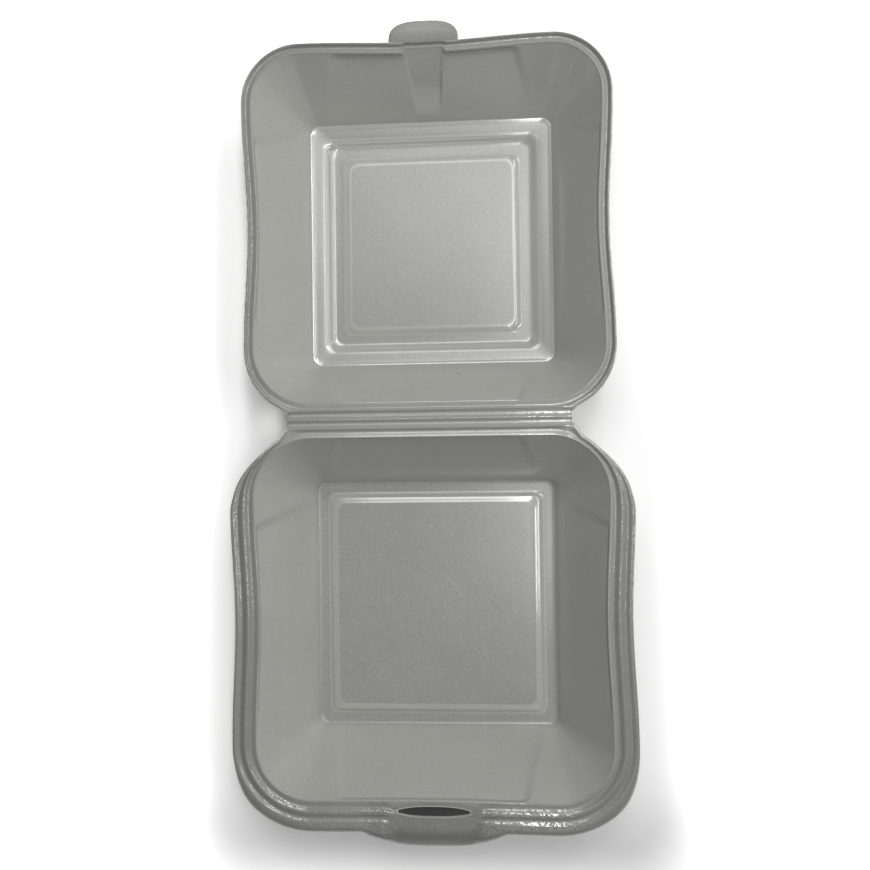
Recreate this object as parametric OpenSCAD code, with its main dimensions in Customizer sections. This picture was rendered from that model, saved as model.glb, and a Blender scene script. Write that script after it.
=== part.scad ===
// Foam hamburger box, lying open.
// The base and the lid are two trays formed from one foam sheet. They meet at a
// hinge strip between two pressed fold lines. The open box lies on the table,
// +Y runs from the base to the lid, and the origin is under the middle of it.

/* [Foam sheet] */
// Thickness of the foam in the walls and floors
foam = 2.0; // [1.4:0.1:2.4]
// Thickness of the foam in the pressed rims
rim_foam = 1.6; // [1.2:0.1:1.8]
// Height of both rims above the table
rim_height = 37.5; // [30:0.5:48]

/* [Base tray] */
// Width across the top of the base's walls at its corners
base_w = 142.2; // [138:0.2:152]
// Length between the tops of the base's back and front walls
base_l = 144.8; // [139:0.2:154]
// Radius of the front corners at the top of the base's walls
base_front_r = 22; // [15:0.5:26]
// Radius of the back corners at the top of the base's walls
base_back_r = 23.5; // [17:0.5:28]
// How far the base's side walls draw in between the corners
base_pinch = 1.7; // [0:0.1:4]
// How far the base's front wall draws in between the corners
base_front_pinch = 0.6; // [0:0.1:2]
// Width of the base's floor
base_floor_w = 103.6; // [98:0.2:110]
// Length of the base's floor
base_floor_l = 105.4; // [98:0.2:112]
// Corner radius of the base's floor
base_floor_r = 3; // [2:0.25:6]
// Width of the ring that the base stands on
base_ring = 4.6; // [3:0.2:8]
// Run of the step from the ring up to the raised floor
base_step = 2.8; // [1.5:0.1:4]
// Rise of the floor inside the ring
base_rise = 2.0; // [0.8:0.1:3]

/* [Base rim] */
// Drop of the wall's top edge below the top of the rim
lip_drop = 0.6; // [0.3:0.05:0.9]
// Distance from the wall's top edge out to the valley behind it
valley_out = 2.1; // [1.6:0.1:2.4]
// Drop of that valley below the top of the rim
valley_drop = 1.3; // [0.9:0.05:1.6]
// Distance out to the first ridge
ridge_out = 4.3; // [3.9:0.1:4.7]
// Distance out to the groove between the ridges
groove_out = 6.8; // [6.2:0.1:7.4]
// Drop of the groove
groove_drop = 1.0; // [0.5:0.1:1.4]
// Distance out to the second ridge
second_ridge_out = 8.9; // [8.3:0.1:9.2]
// Distance out to the edge of the rolled skirt at the sides
skirt_out = 10.2; // [9.8:0.1:12]
// Distance out to the edge of the rolled skirt at the front
front_skirt_out = 13.8; // [12:0.1:16]
// Drop of the skirt's edge
skirt_drop = 4.2; // [3:0.1:6]
// Angle round the back corners, from the hinge, at which the skirt starts
skirt_start = 42; // [30:2:60]
// Angle at which the skirt has its full width
skirt_full = 108; // [95:1:120]
// Width of the rim round the back corners, between the hinge and the skirt
back_rim_w = 3.1; // [2.6:0.1:4]

/* [Slot and tongue] */
// Length of the slot that the tab goes into
slot_l = 28.4; // [24:0.2:32]
// Width of the slot at its middle
slot_w = 4.0; // [3:0.1:4.4]
// Width of the slot at its blunt ends
slot_end_w = 1.3; // [0.8:0.1:2]
// Width of the pull tongue in front of the slot
tongue_w = 58; // [46:1:62]
// Length of the tongue past the skirt
tongue_l = 6.5; // [3:0.1:10]
// Drop of the tongue's tip
tongue_drop = 6.4; // [4.5:0.1:9]

/* [Lid tray] */
// Width across the top of the lid's walls at its corners
lid_w = 140.8; // [136:0.2:150]
// Length between the tops of the lid's back and front walls
lid_l = 141.4; // [136:0.2:150]
// Radius of the front corners at the top of the lid's walls
lid_front_r = 19.5; // [15:0.5:26]
// Radius of the back corners at the top of the lid's walls
lid_back_r = 22.5; // [17:0.5:28]
// How far the lid's side walls draw in between the corners
lid_pinch = 2.1; // [0:0.1:4]
// How far the lid's front wall draws in between the corners
lid_front_pinch = 1.6; // [0:0.1:3]
// Distance out to the lid's rim bead
bead_out = 3.3; // [3:0.1:3.6]
// Distance out to the lid's trimmed edge
lid_edge_out = 4.2; // [4:0.1:5.5]
// Width of the lid's rim round its back corners
lid_back_rim_w = 4.8; // [4:0.1:5.5]
// Drop of the lid's trimmed edge
lid_edge_drop = 1.5; // [1:0.1:2]
// Width inside the lid's ledge
lid_floor_w = 104.5; // [98:0.2:110]
// Length inside the lid's ledge
lid_floor_l = 104.9; // [98:0.2:110]
// Corner radius of the lid's ledge
lid_floor_r = 3; // [2:0.25:6]
// Width of the ledge
ledge_w = 6.2; // [4:0.2:9]
// Height of the ledge over the margin that the open lid lies on
ledge_rise = 3.4; // [1.5:0.1:5]
// How far the ledge's inner edge is rolled down before the step
ledge_roll = 0.9; // [0.3:0.1:1.4]
// Run of the step from the ledge to the margin
ledge_step = 3.0; // [2:0.1:5]
// Width of the margin
margin_w = 4.2; // [2.5:0.1:7]
// Rise of the square field inside the margin
field_rise = 1.2; // [0.5:0.1:2]
// Run of the step up to the field
field_step = 2.2; // [1.2:0.1:4]

/* [Tab] */
// Width of the tab at its root
tab_w = 28; // [23:0.5:34]
// Length of the tab past the lid's edge
tab_l = 8.4; // [5:0.1:13]
// Width of the finger channel in the lid's front wall
channel_w = 18; // [12:0.5:20]
// Width of the channel's slanted flanks
channel_flank = 1.6; // [0.8:0.1:2.5]
// Depth of the channel
channel_d = 1.7; // [0.6:0.1:2]

/* [Wall panels] */
// Length of each wall's set-back panel at the rim
panel_l = 68; // [64:0.5:80]
// Depth of the panel under the rim
panel_recess = 1.4; // [0.4:0.1:1.8]
// Distance from the top of the rim down to the panel
panel_top = 3.2; // [2.6:0.1:6]
// Width of the slanted crease at each end of a panel
crease_w = 3.0; // [0.8:0.1:4]

/* [Hinge] */
// Distance from the hinge line to the top of the base's back wall
base_back = 7.1; // [6.6:0.1:8.5]
// Distance from the hinge line to the top of the lid's back wall
lid_back = 6.7; // [6.4:0.1:8]
// Length of the hinge
hinge_l = 113; // [100:1:120]
// Thickness of the foam pressed flat along the folds
fold_web = 0.4; // [0.3:0.05:0.5]
// Free width of each fold line
fold_gap = 0.7; // [0.6:0.05:0.9]
// Depth of the fold lines below the top of the rims
fold_depth = 1.65; // [1.5:0.05:2]
// Gap between the two rims when the box is shut
closed_gap = 0.3; // [0.2:0.05:0.8]
// Steepness of the ridges beside the folds
flank_angle = 42; // [36:1:43]
// Depth of the hinge strip's rounded underside below the fold lines
strip_belly = 0.7; // [0.3:0.1:1]

/* [Hidden] */

foam_grey = [0.66, 0.67, 0.66];

// Names for the two kinds of column, and for the sides in the order they run
SIDE = 0;
CORNER = 1;
FRONT = 0;
BACK = 2;

quarter = 90;
front_corner_steps = 9;
back_corner_steps = 6;
// Angle round a back corner over which the hinge's ridge turns into the rim
hinge_fade = 14;
// Angle round a front corner over which the side skirt widens to the front one
skirt_turn = 50;
tab_roundness = 2.8;
tongue_roundness = 2.9;
// Width of the finger channel at the lid's floor, as a share of its width at the rim
channel_taper = 0.55;
slot_half = slot_l / 2;
tongue_half = tongue_w / 2;
tab_half = tab_w / 2;
channel_half = channel_w / 2;
panel_half = panel_l / 2;

// The folds lie fold_half to each side of the hinge line
fold_half = fold_depth + closed_gap / 2;
base_centre = base_back + base_l / 2;
lid_centre = lid_back + lid_l / 2;
base_reach = base_back + base_l - base_front_pinch + front_skirt_out + tongue_l;
lid_reach = lid_back + lid_l - lid_front_pinch + lid_edge_out + tab_l;
hinge_y = (base_reach - lid_reach) / 2;
fold_z = rim_height - fold_depth;

function mix(a, b, t) = a + (b - a) * t;
function clamp(t) = min(1, max(0, t));
function smooth(t) = let (k = clamp(t)) k * k * (3 - 2 * k);

// Columns are the lines that run down a tray from its edge to its floor.
// A side's column stands at a share of the panel's half length plus a distance,
// a corner's at an angle. They run anticlockwise from the front side.
function side_columns(side, inner) = concat(
    [[side, SIDE, -1, -crease_w], [side, SIDE, -1, 0]],
    inner,
    [[side, SIDE, 1, 0], [side, SIDE, 1, crease_w]]);
function plain_side(side) = side_columns(side, [for (share = [-0.5, 0, 0.5]) [side, SIDE, share, 0]]);
function front_side(marks) = side_columns(FRONT, [for (x = mirrored(marks)) [FRONT, SIDE, 0, x]]);
function mirrored(marks) = concat([for (i = [len(marks) - 1:-1:0]) -marks[i]], [0], marks);
function front_corner(side) = [
    for (i = [0:front_corner_steps]) [side, CORNER, quarter * i / front_corner_steps]];
// The back corners' columns stand closer together next to the hinge's end
function back_angles(turn) = concat(
    [0, turn / 2, turn, turn + hinge_fade / 2],
    [for (i = [0:back_corner_steps]) mix(turn + hinge_fade, quarter, i / back_corner_steps)]);
function columns(marks, turn) =
    let (angles = back_angles(turn), last = len(angles) - 1)
    concat(
        front_side(marks),
        front_corner(0),
        plain_side(1),
        [for (i = [last:-1:0]) [1, CORNER, quarter - angles[i]]],
        plain_side(2),
        [for (i = [0:last]) [2, CORNER, angles[i]]],
        plain_side(3),
        front_corner(3));

// Distances of a front column from the middle, or a far one for any other column
function front_x(c) = c[0] == FRONT && c[1] == SIDE && c[2] == 0 ? abs(c[3]) : 1000;

// A ring is a rounded square that draws in along its sides:
// half width, half length, radius of the front and the back corners, panel half
// length, spread of the front's columns, then how far each side draws in
function ring(w, l, front_r, back_r, panel, spread, front_pinch, side_pinch) =
    [w / 2, l / 2, front_r, back_r, panel, spread, front_pinch, side_pinch, 0, side_pinch];
function level_ring(w, l, r, panel, spread) = ring(w, l, r, r, panel, spread, 0, 0);
function inset(floor, d) = level_ring(
    2 * (floor[0] - d), 2 * (floor[1] - d), max(floor[2] - d / 3, 1), floor[4] - d, floor[5]);

// Radius of the corner that follows a side
function corner_r(ring, side) = ring[side == FRONT || side == 3 ? 2 : 3];

// The point of a column on a ring, moved outwards
function plan(c, ring, out) =
    let (
        side = c[0],
        face = quarter * (side + 1),
        normal = [cos(face), sin(face)],
        along = [-sin(face), cos(face)],
        reach = ring[1 - side % 2],
        half = ring[side % 2])
    c[1] == CORNER
        ? let (r = corner_r(ring, side), turn = face + c[2])
          normal * (reach - r) + along * (half - r) + (r + out) * [cos(turn), sin(turn)]
        : let (
            s = c[2] * ring[4] + c[3] * (c[2] == 0 ? ring[5] : 1),
            span = half - corner_r(ring, s > 0 ? side : (side + 3) % 4),
            hollow = ring[6 + side] * (1 + cos(180 * s / span)) / 2)
          normal * (reach - hollow + out) + along * s;

// A row's two points: on the upper face and on the under face of the foam
function row(c, ring, upper, under) = [
    [each plan(c, ring, upper[0]), rim_height - upper[1]],
    [each plan(c, ring, under[0]), rim_height - under[1]]];

// The angle of a column round the back corners: 0 along the hinge, 90 past them
function in_back_corner(c) = c[1] == CORNER && (c[0] == 1 || c[0] == BACK);
function from_hinge(c) =
    in_back_corner(c) ? (c[0] == BACK ? c[2] : quarter - c[2]) :
    c[0] == BACK ? 0 : quarter;

// How much a column belongs to the front
function front_share(c) =
    c[0] == FRONT && c[1] == SIDE ? 1 :
    c[1] == CORNER && c[0] == FRONT ? smooth((quarter - c[2]) / skirt_turn) :
    c[1] == CORNER && c[0] == 3 ? smooth(c[2] / skirt_turn) : 0;

// The hinge ends at an angle round the back corners: turn. Up to there the rim's
// edge runs straight along the fold, then it draws in to the corner's rim.
function fold_edge(back) = back - fold_half - fold_gap / 2;
function hinge_turn(w, r, back) = atan((hinge_l / 2 - w / 2 + r) / (r + fold_edge(back)));
function hinge_share(c, turn) = 1 - smooth((from_hinge(c) - turn) / hinge_fade);
function back_edge(c, r, back, turn, corner_edge) =
    let (straight = (r + fold_edge(back)) / cos(min(from_hinge(c), turn)) - r)
    mix(corner_edge, straight, hinge_share(c, turn));

// A ridge beside a fold, from the pressed web (t = 0) to the ridge's top (t = 1)
web_drop = fold_depth - fold_web / 2;
ridge_run = web_drop / tan(flank_angle);
function hinge_ridge(edge, run, t) = [edge - run * t, web_drop * (1 - t)];
function hinge_under(edge, run, t, share) =
    let (pressed = share * (1 - smooth(t * 1.5)))
    [edge - run * t, mix(valley_drop + rim_foam * 0.8, fold_depth + fold_web / 2, pressed)];

// The wall between the rim and the floor. share runs from 0 at the wall's top
// edge to 1 at the floor, set_back is how far a panel or channel moves outwards.
function wall_row(c, top, floor, floor_drop, share, set_back) =
    let (
        ring = mix(top, floor, share),
        run = (top[0] - floor[0] + top[1] - floor[1]) / 2,
        depth = floor_drop - lip_drop,
        slope = atan(run / depth),
        drop = mix(lip_drop, floor_drop, share))
    row(c, ring, [set_back, drop], [set_back + foam * cos(slope), drop + foam * sin(slope)]);

// Panels fade out towards the floor, and end at their creases
function in_panel(c) = c[1] == SIDE && (abs(c[2]) < 1 || c[3] == 0) ? 1 : 0;
function panel_set_back(c, share) = in_panel(c) * panel_recess * pow(1 - share, 1.5);
function floor_panel(w, l, r) = min(w, l) / 2 - r - crease_w - 0.5;

// A level part of a floor
function floor_row(c, ring, height) =
    row(c, ring, [0, rim_height - foam - height], [0, rim_height - height]);

/* Base */

base_top = ring(base_w, base_l, base_front_r, base_back_r, panel_half, 1, base_front_pinch, base_pinch);
base_floor = level_ring(base_floor_w, base_floor_l, base_floor_r,
    floor_panel(base_floor_w, base_floor_l, base_floor_r), 1);
base_floor_drop = rim_height - foam;
slot_mid = (valley_out + groove_out) / 2;
slot_marks = [for (i = [1:4]) slot_half * i / 4];
tongue_marks = [for (i = [1:3]) mix(slot_half, tongue_half, i / 3)];
base_turn = hinge_turn(base_w, base_back_r, base_back);
base_columns = columns(concat(slot_marks, tongue_marks), base_turn);

// The skirt grows out of the first ridge round the back corners
function skirt_share(c) =
    in_back_corner(c) ? smooth((from_hinge(c) - skirt_start) / (skirt_full - skirt_start)) :
    c[0] == BACK ? 0 : 1;

// Gap of the lens-shaped slot, and reach of the crescent tongue, at a front column
function slot_gap(x) = mix(slot_end_w, slot_w, 1 - pow(x / slot_half, 2));
function tongue_shape(x) = x < tongue_half ? 1 - pow(x / tongue_half, tongue_roundness) : 0;
function in_slot(c) = front_x(c) < slot_half + 0.01;

// The base's rim, as rows from its outer edge to the top of its wall
function skirt_edge(c) =
    mix(skirt_out, front_skirt_out, front_share(c)) + tongue_l * tongue_shape(front_x(c));
function skirt_edge_drop(c) = mix(skirt_drop, tongue_drop, tongue_shape(front_x(c)));
function ridge_place(c) = in_slot(c) ? slot_mid + slot_gap(front_x(c)) / 2 : ridge_out;
function ridge_drop(c) = in_slot(c) ? lip_drop : 0;
function shoulder(c) = [ridge_place(c) + 0.9, ridge_drop(c) + 0.2];
function tongue_row(c, ridged, t) =
    let (
        from = shoulder(c),
        to = [skirt_edge(c), skirt_edge_drop(c)],
        bow = [mix(from[0], to[0], t), mix(from[1], to[1], t * t)])
    in_slot(c) ? bow : ridged;
function base_rim(c, i) =
    i == 0 ? [skirt_edge(c), skirt_edge_drop(c)] :
    i == 1 ? tongue_row(c, [mix(second_ridge_out, skirt_edge(c), 0.7), skirt_edge_drop(c) * 0.36], 0.75) :
    i == 2 ? tongue_row(c, [second_ridge_out, 0.2], 0.5) :
    i == 3 ? tongue_row(c, [groove_out, groove_drop], 0.25) :
    i == 4 ? shoulder(c) :
    i == 5 ? [ridge_place(c), ridge_drop(c)] :
    i == 6 ? [in_slot(c) ? slot_mid - slot_gap(front_x(c)) / 2 : valley_out, valley_drop] :
    [0, lip_drop];
function base_rim_under(c, i) =
    let (upper = base_rim(c, i))
    i == 0 ? upper + [-rim_foam * 0.6, rim_foam * 0.5] :
    i == 1 ? upper + [-rim_foam * 0.6, rim_foam * 0.8] :
    i == 7 ? [foam * 0.65, valley_drop + rim_foam * 1.1] :
    upper + [0, rim_foam];

// Around the back the rim is only the ridge beside the fold, and the valley
corner_run = back_rim_w * 0.36;
function base_rim_row(c, i) =
    let (
        share = skirt_share(c),
        held = hinge_share(c, base_turn),
        edge = back_edge(c, base_back_r, base_back, base_turn, back_rim_w),
        run = mix(corner_run, ridge_run, held),
        drawn = i == 6 ? [(corner_run - valley_out) * (1 - held), 0] : [0, 0],
        hinged = i > 5 ? base_rim(c, i) + drawn : hinge_ridge(edge, run, i / 5),
        hinged_under = i > 5 ? base_rim_under(c, i) + drawn : hinge_under(edge, run, i / 5, held))
    row(c, base_top, mix(hinged, base_rim(c, i), share), mix(hinged_under, base_rim_under(c, i), share));

base_wall_shares = [(panel_top - lip_drop) / (base_floor_drop - lip_drop), 0.5, 0.96];
function base_column(c) = concat(
    [for (i = [0:7]) base_rim_row(c, i)],
    [for (share = base_wall_shares)
        wall_row(c, base_top, base_floor, base_floor_drop, share, panel_set_back(c, share))],
    [floor_row(c, inset(base_floor, 0.4), 0)],
    [floor_row(c, inset(base_floor, base_ring), 0)],
    [floor_row(c, inset(base_floor, base_ring + base_step), base_rise)]);

/* Lid */

lid_top = ring(lid_w, lid_l, lid_front_r, lid_back_r, panel_half, 1, lid_front_pinch, lid_pinch);
lid_floor = level_ring(lid_floor_w, lid_floor_l, lid_floor_r,
    floor_panel(lid_floor_w, lid_floor_l, lid_floor_r), channel_taper);
lid_floor_drop = rim_height - foam - ledge_rise;
channel_marks = [for (share = [0.5, 1]) (channel_half - channel_flank) * share];
tab_marks = [for (i = [0:4]) mix(channel_half, tab_half, 1 - pow(1 - i / 4, 2))];
lid_turn = hinge_turn(lid_w, lid_back_r, lid_back);
lid_columns = columns(concat(channel_marks, tab_marks), lid_turn);

// Reach of the rounded tab at a front column, and depth of the finger channel
function tab_reach(x) =
    x < tab_half ? tab_l * pow(1 - pow(x / tab_half, tab_roundness), 1 / tab_roundness) : 0;
function channel_depth(c) = channel_d * clamp((channel_half - front_x(c)) / channel_flank);
function channel_fade(share) = 1 - smooth((share - 0.5) / 0.4);
function lid_set_back(c, share) = max(panel_set_back(c, share), channel_depth(c) * channel_fade(share));

// The lid's rim, as rows from its outer edge to the top of its wall
function swell(c) =
    (lid_back_rim_w - lid_edge_out) * (1 - smooth((from_hinge(c) - skirt_start) / (quarter - skirt_start)));
function lid_rim(c, i) =
    let (tab = tab_reach(front_x(c)), open = channel_depth(c))
    i == 0 ? [lid_edge_out + swell(c) + tab, lid_edge_drop - 0.4 * tab / tab_l] :
    i == 1 ? [mix(bead_out, lid_edge_out, 0.8) + swell(c), lid_edge_drop * 0.45] :
    i == 2 ? [bead_out + swell(c) / 2 + open * 0.2, 0] :
    i == 3 ? [valley_out + open * 0.5, valley_drop] :
    [open, lip_drop];
function lid_rim_under(c, i) =
    let (upper = lid_rim(c, i), tab = tab_reach(front_x(c)))
    i == 0 ? upper + [-0.4, rim_foam * 0.6 + 0.2 * tab / tab_l] :
    i == 1 ? upper + [-0.6, rim_foam * 0.9] :
    i == 4 ? [foam * 0.65 + channel_depth(c) * 0.7, valley_drop + rim_foam * 1.1] :
    upper + [0, rim_foam];
function lid_rim_row(c, i) =
    let (
        share = hinge_share(c, lid_turn),
        edge = back_edge(c, lid_back_r, lid_back, lid_turn, lid_back_rim_w),
        hinged = i > 2 ? lid_rim(c, i) : hinge_ridge(edge, ridge_run, i / 2),
        hinged_under = i > 2 ? lid_rim_under(c, i) : hinge_under(edge, ridge_run, i / 2, share))
    row(c, lid_top, mix(lid_rim(c, i), hinged, share), mix(lid_rim_under(c, i), hinged_under, share));

lid_wall_shares = [(panel_top - lip_drop) / (lid_floor_drop - lip_drop), 0.3, 0.6, 0.85, 0.97];
margin_ring = inset(lid_floor, ledge_w + ledge_step);
field_ring = inset(margin_ring, margin_w);
function lid_column(c) = concat(
    [for (i = [0:4]) lid_rim_row(c, i)],
    [for (share = lid_wall_shares)
        wall_row(c, lid_top, lid_floor, lid_floor_drop, share, lid_set_back(c, share))],
    [floor_row(c, inset(lid_floor, 0.4), ledge_rise)],
    [floor_row(c, inset(lid_floor, ledge_w - 2 * ledge_roll), ledge_rise - 0.2 * ledge_roll)],
    [floor_row(c, inset(lid_floor, ledge_w), ledge_rise - ledge_roll)],
    [floor_row(c, margin_ring, 0)],
    [floor_row(c, field_ring, 0)],
    [floor_row(c, inset(field_ring, field_step), field_rise)]);

/* Solids */

// Splits a four-sided patch into two triangles
function patch(a, b, c, d) = [[a, b, c], [a, c, d]];

// A tray's closed skin from its columns. Between rows hole_row and hole_row + 1
// the columns from hole_from to hole_to leave a hole through the foam.
module tray(column_rows, hole_row, hole_from, hole_to) {
    cols = len(column_rows);
    rows = len(column_rows[0]);
    count = cols * rows;
    points = concat(
        [for (i = [0:rows - 1]) for (c = [0:cols - 1]) column_rows[c][i][0]],
        [for (i = [0:rows - 1]) for (c = [0:cols - 1]) column_rows[c][i][1]],
        [for (face = [0, 1]) middle([for (c = [0:cols - 1]) column_rows[c][rows - 1][face]])]);
    skin = [
        for (i = [0:rows - 2]) for (c = [0:cols - 1])
            let (n = (c + 1) % cols, a = i * cols + c, b = i * cols + n)
            if (i != hole_row || c < hole_from || c >= hole_to)
                each concat(
                    patch(a, a + cols, b + cols, b),
                    patch(count + a, count + b, count + b + cols, count + a + cols))];
    edge = [
        for (c = [0:cols - 1])
            let (n = (c + 1) % cols)
            each patch(c, n, count + n, count + c)];
    floor_middle = [
        for (c = [0:cols - 1])
            let (a = (rows - 1) * cols + c, b = (rows - 1) * cols + (c + 1) % cols)
            each [[2 * count, b, a], [2 * count + 1, count + a, count + b]]];
    outer = hole_row * cols;
    inner = outer + cols;
    hole_sides = [
        for (c = [hole_from:1:hole_to - 1])
            each concat(
                patch(outer + c + 1, outer + c, count + outer + c, count + outer + c + 1),
                patch(inner + c, inner + c + 1, count + inner + c + 1, count + inner + c))];
    hole_ends = hole_to > hole_from
        ? concat(
            patch(outer + hole_from, inner + hole_from,
                count + inner + hole_from, count + outer + hole_from),
            patch(inner + hole_to, outer + hole_to,
                count + outer + hole_to, count + inner + hole_to))
        : [];
    polyhedron(points, concat(skin, edge, floor_middle, hole_sides, hole_ends), convexity = 8);
}
function middle(ring_points) = [0, 0, ring_points[0][2]];

module base() {
    slot_columns = [for (i = [0:len(base_columns) - 1]) if (in_slot(base_columns[i])) i];
    color(foam_grey)
        translate([0, hinge_y - base_centre, 0])
            rotate([0, 0, 180])
                tray([for (c = base_columns) base_column(c)], 5, min(slot_columns), max(slot_columns));
}

// The strip between the folds: a rounded ridge with a pressed web at each side
module hinge_strip() {
    half = fold_half - fold_gap / 2;
    web = fold_web / 2;
    round_half = half * 0.35;
    crown = web + (half - round_half) * tan(flank_angle);
    bulge = round_half * tan(flank_angle) / 2;
    top = [for (x = [1:-0.25:-1]) [round_half * x, crown + bulge * (1 - x * x)]];
    belly = [for (x = [-1:0.25:1]) [half * x, -web - (strip_belly - web) * (1 - x * x)]];
    color(foam_grey)
        translate([-hinge_l / 2, hinge_y, fold_z])
            rotate([90, 0, 90])
                linear_extrude(hinge_l)
                    polygon(concat([[half, web]], top, [[-half, web]], belly));
}

module lid() {
    color(foam_grey)
        translate([0, hinge_y + lid_centre, 0])
            tray([for (c = lid_columns) lid_column(c)], 0, 0, 0);
}

base();
hinge_strip();
lid();
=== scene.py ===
import math

import bmesh
import bpy
import numpy as np
from mathutils import Matrix, Vector


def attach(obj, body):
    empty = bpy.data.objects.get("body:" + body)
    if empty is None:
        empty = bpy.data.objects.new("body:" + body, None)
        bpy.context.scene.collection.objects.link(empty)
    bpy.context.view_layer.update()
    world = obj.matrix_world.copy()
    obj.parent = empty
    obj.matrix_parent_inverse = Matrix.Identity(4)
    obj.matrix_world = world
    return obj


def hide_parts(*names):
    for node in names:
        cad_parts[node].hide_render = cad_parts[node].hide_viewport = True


# A foam hamburger box lying open. Sizes are in millimetres, as in the part's
# source, and turn into metres when a mesh is made. +Y runs from base to lid.
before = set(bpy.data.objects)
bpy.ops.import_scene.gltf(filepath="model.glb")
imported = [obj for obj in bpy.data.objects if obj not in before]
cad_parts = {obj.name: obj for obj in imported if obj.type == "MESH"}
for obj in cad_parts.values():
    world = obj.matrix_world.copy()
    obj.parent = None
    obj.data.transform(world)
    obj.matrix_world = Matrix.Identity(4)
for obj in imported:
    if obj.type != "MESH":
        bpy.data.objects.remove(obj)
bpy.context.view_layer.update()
MM = 0.001

# Foam sheet
FOAM = 2.0
RIM_FOAM = 1.6
RIM_HEIGHT = 37.5

# Base tray and its rim. The points of a floor are (inset, height).
BASE_W, BASE_L = 142.2, 144.8
BASE_FRONT_R, BASE_BACK_R = 22.0, 23.5
BASE_PINCH, BASE_FRONT_PINCH = 1.7, 0.6
BASE_FLOOR_W, BASE_FLOOR_L, BASE_FLOOR_R = 103.6, 105.4, 3.6
BASE_RING, BASE_STEP, BASE_RISE = 4.6, 2.8, 2.0
BASE_RING_POINTS = ((0.7, 0.0), (BASE_RING - 0.6, 0.0), (BASE_RING + 0.6, 0.4))
BASE_PANEL_POINTS = ((-0.9, BASE_RISE - 0.6), (0.8, BASE_RISE - 0.2), (1.8, BASE_RISE))
LIP_DROP = 0.6
VALLEY_OUT, VALLEY_DROP = 2.1, 1.3
RIDGE_OUT = 4.3
GROOVE_OUT, GROOVE_DROP = 6.8, 1.0
RIDGE_FLANK, RIDGE_FLANK_DROP = 0.9, 0.25
SECOND_RIDGE_OUT = 8.9
SECOND_RIDGE_OUTER, SECOND_RIDGE_OUTER_DROP = 0.55, 0.3
SECOND_RIDGE_INNER, SECOND_RIDGE_INNER_DROP = 0.45, 0.2
SKIRT_BEND, SKIRT_BEND_DROP = 0.75, 0.42
BASE_UNDER_EDGE = ((0.5, 0.6), (0.6, 0.8))
UNDER_LIP_OUT, UNDER_LIP_DROP = FOAM * 0.65, VALLEY_DROP + RIM_FOAM * 1.1
HINGE_UNDER_DROP = VALLEY_DROP + RIM_FOAM * 0.8
SKIRT_OUT, FRONT_SKIRT_OUT, SKIRT_DROP = 10.2, 13.8, 4.2
SKIRT_START, SKIRT_FULL, SKIRT_TURN = 42.0, 108.0, 50.0
BACK_RIM_W = 3.1
BACK_RIM_RUN = BACK_RIM_W * 0.36

# Slot and tongue
SLOT_L, SLOT_W, SLOT_END_W, SLOT_ROUNDNESS = 28.4, 4.0, 1.3, 2.8
SLOT_LAND_IN, SLOT_LAND_FADE, SLOT_LAND_DROP = 0.4, 7.0, 0.5
BOW_DROP, BOW_SHARES = 0.2, (0.8, 0.55, 0.42, 0.25)
TONGUE_W, TONGUE_L, TONGUE_DROP, TONGUE_ROUNDNESS = 58.0, 6.5, 6.4, 2.9

# Lid tray and its rim
LID_W, LID_L = 140.8, 141.4
LID_FRONT_R, LID_BACK_R = 19.5, 22.5
LID_PINCH, LID_FRONT_PINCH = 2.1, 1.6
BEAD_OUT = 3.3
LID_EDGE_OUT, LID_EDGE_DROP, LID_BACK_RIM_W = 4.2, 1.5, 4.8
LID_BEND, LID_BEND_DROP, LID_UNDER_EDGE = 0.8, 0.5, ((0.4, 0.6), (0.6, 0.9))
LID_FLOOR_W, LID_FLOOR_L, LID_FLOOR_R = 104.5, 104.9, 4.0
LEDGE_W, LEDGE_RISE, LEDGE_ROLL, LEDGE_STEP = 6.2, 3.4, 0.9, 3.0
MARGIN_W, FIELD_RISE, FIELD_STEP = 4.2, 1.2, 2.2
LEDGE_POINTS = ((0.1, LEDGE_RISE + 0.38), (1.1, LEDGE_RISE),
                (LEDGE_W * 0.42, LEDGE_RISE - 0.25 * LEDGE_ROLL),
                (LEDGE_W * 0.75, LEDGE_RISE - 0.6 * LEDGE_ROLL), (LEDGE_W, LEDGE_RISE - 1.1 * LEDGE_ROLL))
MARGIN_POINTS = ((-0.6, 0.3), (0.6, 0.0))
FIELD_FOOT_POINTS = ((-0.6, 0.0), (0.5, 0.25))
FIELD_POINTS = ((-0.5, FIELD_RISE - 0.25), (0.6, FIELD_RISE), (1.6, FIELD_RISE))
TAB_W, TAB_L, TAB_ROUNDNESS = 28.0, 8.4, 2.8
TAB_RISE, TAB_BEND, TAB_FOAM = 0.4, 0.1, 0.2
CHANNEL_W, CHANNEL_FLANK, CHANNEL_D, CHANNEL_TAPER = 18.0, 1.6, 1.7, 0.55
CHANNEL_FADE_START, CHANNEL_FADE_RUN = 0.5, 0.4
BEAD_CHANNEL, VALLEY_CHANNEL, UNDER_CHANNEL = 0.2, 0.5, 0.7

# Wall panels
PANEL_L, PANEL_RECESS, PANEL_SOFTNESS = 68.0, 1.4, 0.5
CREASE_W, CREASE_CLEAR = 4.0, 0.5
BASE_PANEL_FADE, LID_PANEL_FADE = 0.8, 1.5
PANEL_EDGE, PANEL_TOP, PANEL_TOP_ROLL = 1.3, 3.2, 1.0
BASE_WALL_SHARES = [0.25, 0.45, 0.65, 0.85, 0.955, 0.985]
LID_WALL_SHARES = [0.25, 0.4, 0.55, 0.7, 0.85, 0.955, 0.985]

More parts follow.
